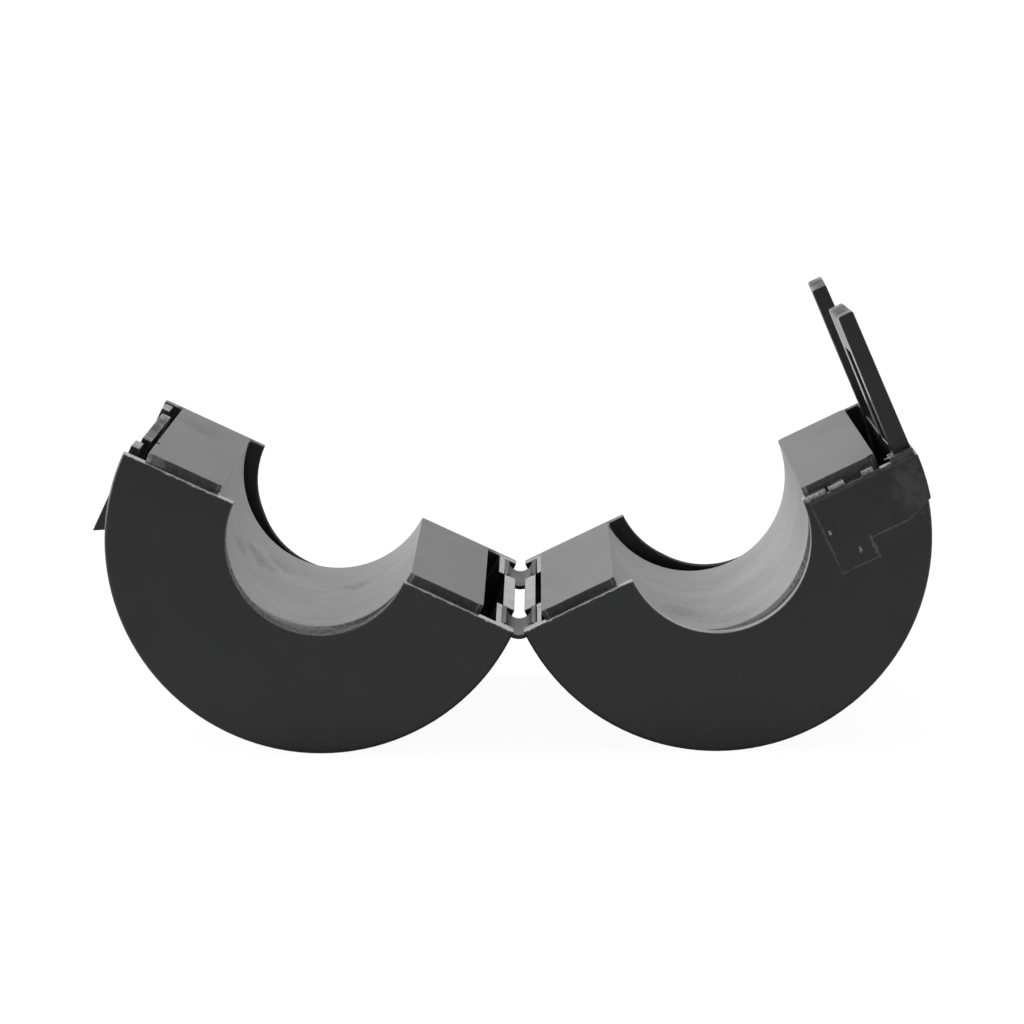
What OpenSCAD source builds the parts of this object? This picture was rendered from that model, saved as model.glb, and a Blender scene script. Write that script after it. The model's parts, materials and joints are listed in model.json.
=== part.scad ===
// Open clip-on ferrite bead for a 13 mm cable. Sizes in mm, +Z up, bore along Y.
// The two halves stand open on their round backs, joined by a living hinge.

/* [Case] */
// Outer diameter of the closed case
case_d = 30; // [28:0.5:40]
// Length of the case along the cable
case_len = 34; // [31:0.5:50]
// Thickness of each end wall
end_wall = 1.2; // [0.9:0.1:2]
// Thickness of the round side wall
side_wall = 1.4; // [1.2:0.05:1.6]
// Cable opening in the end walls, as a share of the outer diameter
cable_share = 0.437; // [0.34:0.001:0.445]
// Round on the outer edge of the end walls
edge_r = 0.3; // [0.1:0.05:0.6]

/* [Ferrite core] */
// Room between the core and the side wall
core_play = 0.65; // [0.6:0.05:1]
// How far the core's bore stands back from the cable opening
bore_room = 0.76; // [0.74:0.01:1.2]
// Height of the ground face above the case rim
core_proud = 0.45; // [0.3:0.05:0.5]
// Material ground off each half ring at its face
core_lap = 0.39; // [0.1:0.01:0.4]
// How far each loose core has slid in its half, to the left in the open pose
core_shift = 0.5; // [0:0.05:0.5]
// How far each loose core has slid towards the front end
core_slide = 0.4; // [0:0.05:0.4]
// Gap between the core and each end wall
core_end_gap = 1.7; // [1:0.1:2.5]
// Gap between the core and the stops at each end
stop_gap = 0.5; // [0.45:0.05:0.8]
// Chamfer on the core's end edges
core_chamfer = 0.3; // [0.1:0.05:0.6]
// Width of a rest rib under the core
rest_w = 1.6; // [1:0.1:3]
// Angle of the rest ribs from the bottom of the case
rest_angle = 33; // [25:1:40]

/* [Opening] */
// Angle between the two ground faces as shown
open_angle = 129.4; // [100:0.1:150]
// Gap between the ground faces when closed
face_gap = 0.06; // [0.02:0.01:0.2]

/* [Living hinge] */
// Gap from each half's edge to the hinge plane
hinge_clear = 0.15; // [0.05:0.05:0.3]
// Thickness of the hinge strap
strap_t = 0.3; // [0.2:0.05:0.4]
// Inner radius of the strap's bend
strap_in_r = 0.9; // [0.8:0.05:1]
// Width of one strap along the case
strap_w = 7.4; // [5:0.1:9]
// Distance from the case's end to the strap
strap_inset = 2; // [1.4:0.1:3]

/* [Latch arms] */
// Width of one latch arm along the case
arm_w = 7.4; // [6:0.1:9]
// Height of the arm above the rim
arm_h = 10.3; // [9.5:0.1:12]
// Thickness of the arm at its root
arm_root_t = 1.3; // [1.1:0.05:1.35]
// Thickness of the arm at its tip
arm_tip_t = 1.14; // [0.8:0.02:1.2]
// Chamfer on the arm's tip
tip_chamfer = 0.1; // [0.05:0.05:0.3]
// How far the front arm's tip leans out past its root
front_lean = 0.39; // [0:0.01:0.6]
// How far the back arm's tip leans out past its root
back_lean = 0.3; // [0:0.01:0.6]
// Angle by which each arm toes in towards the middle of the case
arm_toe = 1.3; // [0:0.1:2]
// Distance of the arm's outer face inside the case's edge
arm_set = 0.13; // [0.02:0.01:0.15]
// Width of the window in the arm
window_w = 4.1; // [3:0.1:4.5]
// Height of the window's lower edge above the rim
window_foot = 0.5; // [0.3:0.1:1]
// Height of the window's upper edge above the rim
window_h = 7.5; // [6.5:0.05:8.5]

/* [Catches] */
// How far the barb reaches over the arm's crossbar
barb_bite = 0.85; // [0.3:0.01:0.9]
// Slope of the barb's undercut ledge
ledge_angle = 28; // [0:1:35]
// Thickness of the lug on top of each barb
lug_t = 0.64; // [0.5:0.02:0.9]
// Thickness of the bar between the catches
bar_t = 0.72; // [0.5:0.02:1]
// Distance of the bar's flat outer face inside the case's edge
bar_set = 0.46; // [0.2:0.02:0.6]
// Height of the bar and the barbs above the rim
bar_rise = 0.2; // [0:0.05:0.3]
// Depth of the relief behind that bar
bar_relief_h = 2; // [1:0.1:3]
// Gap at each side of an arm in its pocket
arm_side_gap = 0.3; // [0.2:0.05:0.5]
// Gap behind an arm in its pocket
arm_back_gap = 0.15; // [0.1:0.05:0.2]
// Gap at each side of a barb in its window
barb_side_gap = 0.4; // [0.2:0.05:0.6]
// Gap between a barb's ledge and the crossbar when closed
latch_gap = 0.05; // [0.05:0.05:0.4]

/* [Latch pads] */
// Height of the raised pads and band at the latch arms
pad_t = 0.14; // [0.1:0.02:0.4]
// Distance of the pad's inner edge from the cable opening
pad_margin = 0.35; // [0.3:0.05:1]
// Width of the pad's deep tab
tab_w = 2.85; // [2:0.05:3.5]
// Depth of the pad's deep tab below the rim
tab_depth = 5.9; // [5:0.1:8]
// Depth of the pad's band below the rim
band_depth = 4.45; // [3:0.05:4.8]
// Rise of the band's lower edge towards the outside
band_rise = 0.85; // [0:0.05:1.2]
// Length of that rising edge, in from the case's outside
band_run = 2.4; // [1.5:0.1:3]
// Distance from the rim down to the pad
pad_top = 0.5; // [0.3:0.1:1]
// Width of a notch in the rim above the pad
notch_w = 1.3; // [0.8:0.1:1.6]
// Depth of a notch in the rim above the pad
notch_h = 0.35; // [0.2:0.05:0.45]
// Distance of the first notch from the pad's inner edge
notch_in = 2.8; // [1.5:0.1:3]
// Spacing of the notches
notch_pitch = 2.2; // [1.8:0.1:2.4]
// Width of the slit between the first notch and the opening
slit_w = 0.18; // [0.1:0.02:0.3]
// Depth of the rib that steadies the core's front end at the latch side
end_rib_h = 4; // [2:0.25:6]
// Chamfer on the rim's outer edge above the pad
rim_chamfer = 0.26; // [0.1:0.02:0.35]

/* [Hidden] */
$fn = 96;
// Small overlap of cutting tools past a face
over = 0.5;
// Gap between the core and the ribs that it rests on
seat_gap = 0.05;
// How far the core stops keep clear of the cable opening
stop_clear = 1.2;
// Gap between the strap and the moving half's groove
strap_clear = 0.06;
// Gap at each side of a strap in its groove
strap_side_gap = 0.15;

case_r = case_d / 2;
// The opening is a whole number of tenths of a millimetre
cable_d = round(case_d * cable_share * 10) / 10;
cable_r = cable_d / 2;
cavity_r = case_r - side_wall;
cavity_len = case_len - 2 * end_wall;
core_r = cavity_r - core_play;
core_bore_r = cable_r + bore_room;
core_len = cavity_len - 2 * core_end_gap;
core_axis = core_proud + core_lap;
rest_x = core_r * sin(rest_angle);

// Each half leans back by the tilt, about its own bore axis
tilt = (180 - open_angle) / 2;
// Height of the closing plane above a half's rim
close_n = core_proud + face_gap / 2;
// The hinge axis lies where the two closing planes cross
bore_x = (case_r + hinge_clear + close_n * tan(tilt)) * cos(tilt);
hinge_z = case_r + (close_n - bore_x * sin(tilt)) / cos(tilt);
strap_out_r = strap_in_r + strap_t;
strap_y = case_len / 2 - strap_inset - strap_w / 2;

arm_out = case_r - arm_set;
arm_in = arm_out - arm_root_t;
arm_y = cavity_len / 2 - arm_side_gap - arm_w / 2;

// Inner face of the front arm's crossbar at the window's upper edge
crossbar_in = arm_in + (front_lean + arm_root_t - arm_tip_t) * window_h / arm_h;
barb_out = crossbar_in + barb_bite;
barb_w = window_w - 2 * barb_side_gap;
lug_in = barb_out - lug_t;
ledge_n = -(window_h - 2 * close_n - latch_gap);
ledge_in = cavity_r - side_wall;
ledge_rise = (barb_out - ledge_in) * tan(ledge_angle);
pocket_u = arm_in - arm_w / 2 * sin(arm_toe) - arm_back_gap;
pocket_w = arm_w + 2 * arm_side_gap;
bar_len = cavity_len - 2 * pocket_w;
bar_out = case_r - bar_set;
bar_in = bar_out - bar_t;

pad_r = case_r + pad_t;
pad_in = cable_r + pad_margin;
notch_x = pad_in + notch_in;
slit_x = pad_in + notch_in / 2;
band_angle = asin((band_depth - band_rise) / case_r);

// The box of the whole part is centred on X = 0
barb_reach = barb_out * cos(tilt) - ledge_n * sin(tilt);
band_reach = pad_r * cos(max(0, tilt - band_angle));
left_reach = bore_x + max(case_r, barb_reach);
right_reach = bore_x + max(case_r, band_reach);
part_x = (left_reach - right_reach) / 2;

// Local frame of a half: X from the hinge to the latch, Y along the cable, Z out of the rim
module place_right()
    translate([part_x + bore_x, 0, case_r])
        rotate([0, -tilt, 0])
            children();

module place_left()
    translate([part_x, 0, 0])
        mirror([1, 0, 0])
            translate([bore_x, 0, case_r])
                rotate([0, -tilt, 0])
                    children();

// A profile of radius and length, turned below the rim from the latch side
module turn_below(angle = 180)
    rotate([-90, 0, 0])
        rotate_extrude(angle = angle)
            children();

// A profile of X and Z, pushed along Y and centred
module along_y(length)
    translate([0, length / 2, 0])
        rotate([90, 0, 0])
            linear_extrude(length)
                children();

// The same thing at both ends of the case
module both_ends() {
    children();
    mirror([0, 1, 0])
        children();
}

module shell_profile() {
    difference() {
        union() {
            translate([0, -case_len / 2])
                square([case_r - edge_r, case_len]);
            translate([0, -case_len / 2 + edge_r])
                square([case_r, case_len - 2 * edge_r]);
            for (end = [-1, 1])
                translate([case_r - edge_r, end * (case_len / 2 - edge_r)])
                    circle(edge_r);
        }
        translate([-over, -case_len / 2 - over])
            square([cable_r + over, case_len + 2 * over]);
        translate([-over, -cavity_len / 2])
            square([cavity_r + over, cavity_len]);
    }
}

// Two ribs that carry the loose core, raised past its ends as stops
module core_rests(shift) {
    inner = cable_r + stop_clear;
    difference() {
        intersection() {
            turn_below()
                translate([inner, -cavity_len / 2 - over / 2])
                    square([cavity_r + side_wall / 2 - inner, cavity_len + over]);
            for (side = [-1, 1])
                translate([shift + side * rest_x - rest_w / 2, -cavity_len / 2 - over / 2, -case_r])
                    cube([rest_w, cavity_len + over, case_r]);
        }
        translate([shift, 0, core_axis])
            rotate([90, 0, 0])
                cylinder(r = core_r + seat_gap, h = core_len + 2 * stop_gap, center = true);
    }
}

// Grooves in the hinge edge, round the hinge axis, that the straps lie in
module strap_grooves(gap) {
    both_ends()
        translate([-case_r - hinge_clear, strap_y, close_n])
            rotate([90, 0, 0])
                cylinder(r = strap_out_r + gap, h = strap_w + 2 * strap_side_gap, center = true);
}

// Cut-outs in the latch wall that take the arms when the case is shut
module arm_pockets() {
    both_ends()
        translate([pocket_u, arm_y - pocket_w / 2, -case_r])
            cube([side_wall * 2 + over, pocket_w, case_r + over]);
}

// Clears the wall where the thin bar stands between the catches
module bar_relief() {
    translate([bar_in - side_wall, -bar_len / 2, -bar_relief_h])
        cube([side_wall, bar_len, bar_relief_h + over]);
    translate([bar_out, -cavity_len / 2, -case_r])
        cube([side_wall, cavity_len, case_r + over]);
}

module latch_bar() {
    translate([bar_in, -bar_len / 2, -bar_relief_h - over])
        cube([bar_t, bar_len, bar_relief_h + over + bar_rise]);
}

module barb_outline() {
    polygon([
        [lug_in, bar_rise],
        [barb_out, bar_rise],
        [barb_out, ledge_n],
        [ledge_in, ledge_n + ledge_rise],
        [ledge_in, -bar_relief_h],
        [lug_in, -bar_relief_h]
    ]);
}

module barbs() {
    difference() {
        both_ends()
            translate([0, arm_y, 0])
                along_y(barb_w)
                    barb_outline();
        rotate([90, 0, 0])
            cylinder(r = cavity_r, h = case_len, center = true);
    }
}

module pad_outline() {
    polygon([
        [pad_in, -pad_top],
        [pad_r + over, -pad_top],
        [pad_r + over, band_rise - band_depth],
        [case_r, band_rise - band_depth],
        [case_r - band_run, -band_depth],
        [pad_in + tab_w, -band_depth],
        [pad_in + tab_w, -tab_depth],
        [pad_in, -tab_depth]
    ]);
}

// Raised pads on both end faces, joined by a band round the outside
module latch_pads() {
    both_ends()
        intersection() {
            translate([0, case_len / 2 + pad_t - (pad_t + end_wall / 2) / 2, 0])
                along_y(pad_t + end_wall / 2)
                    pad_outline();
            rotate([-90, 0, 0])
                cylinder(r = pad_r, h = case_len);
        }
    difference() {
        turn_below(band_angle)
            translate([cavity_r + side_wall / 2, -case_len / 2 - pad_t])
                square([pad_r - cavity_r - side_wall / 2, case_len + 2 * pad_t]);
        translate([0, -case_len, -pad_top])
            cube([case_d, 2 * case_len, case_r]);
    }
}

// Thick stretch of the front end wall at the latch side, which steadies the core's end
module end_rib() {
    mirror([0, 1, 0])
        intersection() {
            translate([pad_in - pad_margin / 2, cavity_len / 2 - core_end_gap + stop_gap, -end_rib_h])
                cube([case_r, core_end_gap, end_rib_h]);
            rotate([-90, 0, 0])
                cylinder(r = cavity_r + side_wall / 2, h = case_len);
        }
}

// Notches that part the front end's rib, cut a little lower in the end wall's rim
module rim_notches() {
    reach = end_wall + pad_t + over;
    mirror([0, 1, 0]) {
        for (i = [0, 1])
            translate([notch_x + i * notch_pitch, 0, 0]) {
                translate([0, case_len / 2 - end_wall - over, -notch_h])
                    cube([notch_w, reach + over, notch_h + over]);
                translate([0, cavity_len / 2 - core_end_gap, -end_rib_h - over])
                    cube([notch_w, core_end_gap, end_rib_h + 2 * over]);
            }
        translate([slit_x, cavity_len / 2 - core_end_gap, -notch_h])
            cube([slit_w, core_end_gap + reach, notch_h + over]);
    }
}

// Chamfer on the rim's outer edge above each pad
module rim_chamfers() {
    both_ends()
        translate([pad_in - pad_margin / 2, 0, 0])
            rotate([90, 0, 90])
                linear_extrude(case_r)
                    polygon([
                        [case_len / 2 + over, -rim_chamfer - over],
                        [case_len / 2 + over, over],
                        [case_len / 2 - rim_chamfer - over, over]
                    ]);
}

module core_profile() {
    far = core_len / 2;
    polygon([
        [core_bore_r + core_chamfer, -far],
        [core_r - core_chamfer, -far],
        [core_r, core_chamfer - far],
        [core_r, far - core_chamfer],
        [core_r - core_chamfer, far],
        [core_bore_r + core_chamfer, far],
        [core_bore_r, far - core_chamfer],
        [core_bore_r, core_chamfer - far]
    ]);
}

// Half of a ferrite ring, ground flat below its own axis
module half_core(shift) {
    translate([shift, -core_slide, core_axis])
        difference() {
            turn_below()
                core_profile();
            translate([-case_r, -case_len / 2, -core_lap])
                cube([case_d, case_len, case_r]);
        }
}

module arm_outline(lean) {
    tip_out = arm_out + lean;
    tip_in = tip_out - arm_tip_t;
    polygon([
        [arm_in, 0],
        [arm_out, 0],
        [tip_out, arm_h - tip_chamfer],
        [tip_out - tip_chamfer, arm_h],
        [tip_in + tip_chamfer, arm_h],
        [tip_in, arm_h - tip_chamfer]
    ]);
}

// One spring arm with the window that drops over a barb
module latch_arm(lean, toe) {
    middle = arm_out - arm_root_t / 2;
    translate([middle, 0, 0])
        rotate([0, 0, toe])
            translate([-middle, 0, 0])
                difference() {
                    along_y(arm_w)
                        arm_outline(lean);
                    translate([arm_in - over, -window_w / 2, window_foot])
                        cube([case_r, window_w, window_h - window_foot]);
                }
}

// One bowed strap of the living hinge, round the hinge axis
module hinge_strap() {
    translate([part_x, 0, hinge_z])
        turn_below()
            translate([strap_in_r, -strap_w / 2])
                square([strap_t, strap_w]);
}

module left_shell() {
    color("#2c2c2e")
        place_left() {
            difference() {
                union() {
                    turn_below()
                        shell_profile();
                    core_rests(core_shift);
                }
                strap_grooves(0);
                arm_pockets();
                bar_relief();
            }
            latch_bar();
            barbs();
        }
}

module right_shell() {
    color("#303032")
        place_right()
            difference() {
                union() {
                    turn_below()
                        shell_profile();
                    core_rests(-core_shift);
                    end_rib();
                    latch_pads();
                }
                strap_grooves(strap_clear);
                rim_notches();
                rim_chamfers();
            }
}

module left_core() {
    color("#868686")
        place_left()
            half_core(core_shift);
}

module right_core() {
    color("#8c8c8c")
        place_right()
            half_core(-core_shift);
}

module hinge_strap_front() {
    color("#454548")
        translate([0, -strap_y, 0])
            hinge_strap();
}

module hinge_strap_back() {
    color("#454548")
        translate([0, strap_y, 0])
            hinge_strap();
}

module latch_arm_front() {
    color("#3a3a3d")
        place_right()
            translate([0, -arm_y, 0])
                latch_arm(front_lean, arm_toe);
}

module latch_arm_back() {
    color("#3a3a3d")
        place_right()
            translate([0, arm_y, 0])
                latch_arm(back_lean, -arm_toe);
}

left_shell();
right_shell();
left_core();
right_core();
hinge_strap_front();
hinge_strap_back();
latch_arm_front();
latch_arm_back();
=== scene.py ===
"""Looks of an open clip-on ferrite bead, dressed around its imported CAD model."""

import json
import logging
import math
from dataclasses import dataclass
from enum import Enum

import bmesh
import bpy
from mathutils import Euler, Matrix, Vector


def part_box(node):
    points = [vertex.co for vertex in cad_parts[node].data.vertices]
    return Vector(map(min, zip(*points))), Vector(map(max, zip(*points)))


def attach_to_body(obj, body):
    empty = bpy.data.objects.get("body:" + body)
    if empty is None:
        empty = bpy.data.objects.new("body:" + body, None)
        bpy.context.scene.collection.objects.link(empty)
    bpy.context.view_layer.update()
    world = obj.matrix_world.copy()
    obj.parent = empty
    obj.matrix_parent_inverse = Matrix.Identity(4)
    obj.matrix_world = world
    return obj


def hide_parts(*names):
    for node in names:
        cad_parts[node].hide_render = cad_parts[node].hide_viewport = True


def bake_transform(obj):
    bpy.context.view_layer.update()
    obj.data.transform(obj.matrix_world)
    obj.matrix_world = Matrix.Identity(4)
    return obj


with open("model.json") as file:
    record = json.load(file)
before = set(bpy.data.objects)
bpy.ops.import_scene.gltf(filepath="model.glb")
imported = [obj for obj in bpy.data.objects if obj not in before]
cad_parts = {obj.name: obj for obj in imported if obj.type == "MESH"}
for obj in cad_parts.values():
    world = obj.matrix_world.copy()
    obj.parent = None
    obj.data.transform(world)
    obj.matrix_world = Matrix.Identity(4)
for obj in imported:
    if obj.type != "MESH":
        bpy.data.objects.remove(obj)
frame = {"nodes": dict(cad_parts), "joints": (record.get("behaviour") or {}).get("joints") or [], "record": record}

LOG = logging.getLogger("ferrite_bead")
MM = 0.001
# Face attribute on rounded edges, which the finishes paint lighter: rubbing, and a painted edge highlight.
EDGE_MARK = "edge_rub_and_highlight"
Colour = tuple[float, float, float, float]
Triple = tuple[float, float, float]
Piece = bpy.types.Object
Socket = bpy.types.NodeSocket
Tree = bpy.types.NodeTree
Material = bpy.types.Material
Polygon = bpy.types.MeshPolygon


def grey(level: float, warmth: float = 0.0) -> Colour:
    """Give a linear grey, a little warmer or colder by the warmth."""
    return (level * (1.0 + warmth), level, level * (1.0 - warmth), 1.0)


class Half(Enum):
    """The two moving halves of the bead, by the name of their CAD body."""

    LEFT = "left_half"
    RIGHT = "right_half"

    @property
    def prefix(self) -> str:
        """The word that the half's CAD nodes start with."""
        return self.value.split("_")[0]


class FerriteFace(Enum):
    """The three surfaces that a half core shows."""

    GROUND = "ferrite_ground"
    BORE = "ferrite_bore"
    FIRED = "ferrite_fired"


@dataclass(frozen=True)
class HalfFrame:
    """Where one half lies: its bore axis and how far it leans open.

    X of the half runs from the hinge to the latch, Y along the cable, Z out of the rim.
    """

    half: Half
    axis: Vector
    tilt: float

    @property
    def side(self) -> float:
        """Minus one for the left half and plus one for the right half."""
        return -1.0 if self.half is Half.LEFT else 1.0

    def out(self) -> Vector:
        """The direction from the hinge to the latch."""
        return Vector((self.side * math.cos(self.tilt), 0.0, math.sin(self.tilt)))

    def up(self) -> Vector:
        """The direction out of the rim."""
        return Vector((-self.side * math.sin(self.tilt), 0.0, math.cos(self.tilt)))

    def place(self, point: Triple) -> Vector:
        """Turn a point of the half, in millimetres, into a point of the part in metres."""
        out, along, up = (MM * number for number in point)
        return self.axis + self.out() * out + Vector((0.0, along, 0.0)) + self.up() * up

    def mapping(self) -> dict[str, Triple]:
        """Give a Mapping node's values that turn Object coordinates into those of the half."""
        turn = Euler((0.0, self.tilt, 0.0)).to_matrix()
        mirrored = Vector((self.side * self.axis.x, self.axis.y, self.axis.z))
        return {
            "Location": tuple(-(turn @ mirrored)),
            "Rotation": (0.0, self.tilt, 0.0),
            "Scale": (self.side, 1.0, 1.0),
        }


@dataclass(frozen=True)
class Mark:
    """A soft patch on a half: where, how far it reaches and how strong, in millimetres."""

    centre: Triple
    reach: Triple
    strength: float
    rag: float = 900.0


@dataclass(frozen=True)
class Chip:
    """A small piece broken out of a core's edge, in millimetres of its half."""

    centre: Triple
    size: Triple
    turn_deg: float = 30.0


@dataclass(frozen=True)
class Block:
    """A box in millimetres of a half, by its lowest and highest corner."""

    low: Triple
    high: Triple

    @property
    def centre(self) -> Triple:
        """The middle of the box."""
        return tuple((a + b) / 2 for a, b in zip(self.low, self.high))

    @property
    def size(self) -> Triple:
        """The lengths of the box."""
        return tuple(b - a for a, b in zip(self.low, self.high))


class NodeBench:
    """Adds and joins nodes of one shader tree."""

    def __init__(self, tree: Tree) -> None:
        """Keep the tree that the nodes go into."""
        self.tree = tree

    def add(self, kind: str, **sockets: object) -> bpy.types.Node:
        """Add a node.

        Args:
            kind: The node's type name.
            **sockets: Attributes of the node, or inputs by name with _ for a space.

        Returns:
            The new node.
        """
        node = self.tree.nodes.new(kind)
        for name, value in sockets.items():
            if hasattr(node, name):
                setattr(node, name, value)
            else:
                self.feed(node, name.replace("_", " "), value)
        return node

    def feed(self, node: bpy.types.Node, name: str | int, value: object) -> None:
        """Set an input of a node, or link another socket to it.

        Args:
            node: The node that takes the value.
            name: The input's name or number.
            value: A plain value, or an output socket.
        """
        target = node.inputs[name]
        if isinstance(value, Socket):
            self.tree.links.new(value, target)
        else:
            target.default_value = value

    def group(self, tree: Tree, **values: object) -> bpy.types.Node:
        """Place a shared group, with its inputs by name, and give its node."""
        return self.add("ShaderNodeGroup", node_tree=tree, **values)

    def math(self, operation: str, first: object, second: object = 0.0) -> Socket:
        """Add a Math node.

        Args:
            operation: The node's operation.
            first: First value or socket.
            second: Second value or socket.

        Returns:
            The output socket.
        """
        node = self.add("ShaderNodeMath", operation=operation)
        self.feed(node, 0, first)
        self.feed(node, 1, second)
        return node.outputs[0]

    def vector(self, operation: str, first: object, second: object = (0.0, 0.0, 0.0)) -> bpy.types.Node:
        """Add a Vector Math node.

        Args:
            operation: The node's operation.
            first: First vector or socket.
            second: Second vector or socket.

        Returns:
            The node.
        """
        node = self.add("ShaderNodeVectorMath", operation=operation)
        self.feed(node, 0, first)
        self.feed(node, 1, second)
        return node

    def ramp(self, value: object, low: float, high: float, start: float = 0.0,
             end: float = 1.0) -> Socket:
        """Map a value smoothly from one range to another.

        Args:
            value: The socket to map.
            low: Where the range starts.
            high: Where the range ends.
            start: What the start becomes.
            end: What the end becomes.

        Returns:
            The output socket.
        """
        node = self.add("ShaderNodeMapRange", interpolation_type="SMOOTHSTEP", Value=value)
        for name, number in (("From Min", low), ("From Max", high), ("To Min", start), ("To Max", end)):
            self.feed(node, name, number)
        return node.outputs[0]

    def blend(self, mask: object, first: object, second: object) -> Socket:
        """Mix two colours by a mask.

        Args:
            mask: Zero gives the first colour, one the second.
            first: Colour or socket.
            second: Colour or socket.

        Returns:
            The output socket.
        """
        node = self.add("ShaderNodeMix", data_type="RGBA")
        self.feed(node, 0, mask)
        self.feed(node, 6, first)
        self.feed(node, 7, second)
        return node.outputs[2]

    def noise(self, vector: object, scale: object, detail: float = 3.0) -> Socket:
        """Add a Noise texture, its scale in features per metre, and give its value."""
        node = self.add("ShaderNodeTexNoise", Vector=vector, Scale=scale, Detail=detail, Roughness=0.6)
        return node.outputs["Fac"]


class SharedEffects:
    """Shader groups that more than one finish uses."""

    def __init__(self) -> None:
        """Build every group once."""
        self.grain = self._grain()
        self.specks = self._specks()
        self.smudge = self._smudge()
        self.strokes = self._strokes()
        self.rubbed_and_highlit_edge = self._rubbed_and_highlit_edge()

    @staticmethod
    def _start(name: str, inputs: dict[str, object], outputs: tuple[str, ...]) -> tuple:
        """Start a group with its sockets.

        Args:
            name: The group's name.
            inputs: A number or a vector for each input, by name.
            outputs: Names of the outputs, which are all numbers.

        Returns:
            The tree, its bench, the inputs' sockets and the node for the outputs.
        """
        tree = bpy.data.node_groups.new(name, "ShaderNodeTree")
        for label, value in inputs.items():
            kind = "NodeSocketVector" if isinstance(value, tuple) else "NodeSocketFloat"
            tree.interface.new_socket(name=label, in_out="INPUT", socket_type=kind).default_value = value
        for label in outputs:
            tree.interface.new_socket(name=label, in_out="OUTPUT", socket_type="NodeSocketFloat")
        bench = NodeBench(tree)
        return tree, bench, bench.add("NodeGroupInput").outputs, bench.add("NodeGroupOutput")

    def _grain(self) -> Tree:
        """Fine grain with a slow drift, for moulded plastic and fired ceramic."""
        tree, bench, given, result = self._start(
            "surface_grain", {"Vector": (0.0, 0.0, 0.0), "Fine": 6000.0, "Slow": 300.0}, ("Height", "Drift"))
        bench.feed(result, 0, bench.noise(given[0], given[1]))
        bench.feed(result, 1, bench.ramp(bench.noise(given[0], given[2], 4.0), 0.3, 0.7))
        return tree

    def _specks(self) -> Tree:
        """Scattered small spots of uneven size, such as open grains or dust."""
        tree, bench, given, result = self._start(
            "specks", {"Vector": (0.0, 0.0, 0.0), "Scale": 1500.0, "Size": 0.2, "Share": 0.3}, ("Mask",))
        cells = bench.add("ShaderNodeTexVoronoi", feature="F1", Vector=given[0], Scale=given[1])
        chance = bench.add("ShaderNodeSeparateColor", Color=cells.outputs["Color"])
        chosen = bench.math("LESS_THAN", chance.outputs[0], given[3])
        reach = bench.math("MULTIPLY", given[2], bench.ramp(chance.outputs[1], 0.0, 1.0, 0.35, 1.0))
        depth = bench.math("SUBTRACT", 1.0, bench.math("DIVIDE", cells.outputs["Distance"], reach))
        bench.feed(result, 0, bench.math("MULTIPLY", bench.ramp(depth, 0.0, 0.6), chosen))
        return tree

    def _smudge(self) -> Tree:
        """A soft uneven patch round one place."""
        tree, bench, given, result = self._start(
            "smudge", {"Vector": (0.0, 0.0, 0.0), "Centre": (0.0, 0.0, 0.0), "Reach": (1.0, 1.0, 1.0),
                       "Rag": 700.0}, ("Mask",))
        away = bench.vector("SUBTRACT", given[0], given[1])
        scaled = bench.vector("DIVIDE", away.outputs[0], given[2])
        far = bench.vector("LENGTH", scaled.outputs[0])
        rag = bench.ramp(bench.noise(given[0], given[3]), 0.3, 0.7, -0.35, 0.35)
        bench.feed(result, 0, bench.ramp(bench.math("ADD", far.outputs["Value"], rag), 0.2, 1.0, 1.0, 0.0))
        return tree

    def _strokes(self) -> Tree:
        """Fine parallel lines, long in one direction and close in the others."""
        tree, bench, given, result = self._start(
            "strokes", {"Vector": (0.0, 0.0, 0.0), "Spread": (200.0, 6000.0, 200.0)}, ("Height",))
        drawn = bench.vector("MULTIPLY", given[0], given[1])
        bench.feed(result, 0, bench.noise(drawn.outputs[0], 1.0, 2.0))
        return tree

    def _rubbed_and_highlit_edge(self) -> Tree:
        """Uneven lighter colour along the rounded edges: rubbed edges, and a painted highlight where light would
        catch them.
        """
        tree, bench, given, result = self._start("rubbed_and_highlit_edge", {"Vector": (0.0, 0.0, 0.0)}, ("Mask",))
        edge = bench.add("ShaderNodeAttribute", attribute_name=EDGE_MARK)
        patchy = bench.ramp(bench.noise(given[0], 1400.0), 0.35, 0.65, 0.25, 1.0)
        bench.feed(result, 0, bench.math("MULTIPLY", edge.outputs["Fac"], patchy))
        return tree


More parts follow.
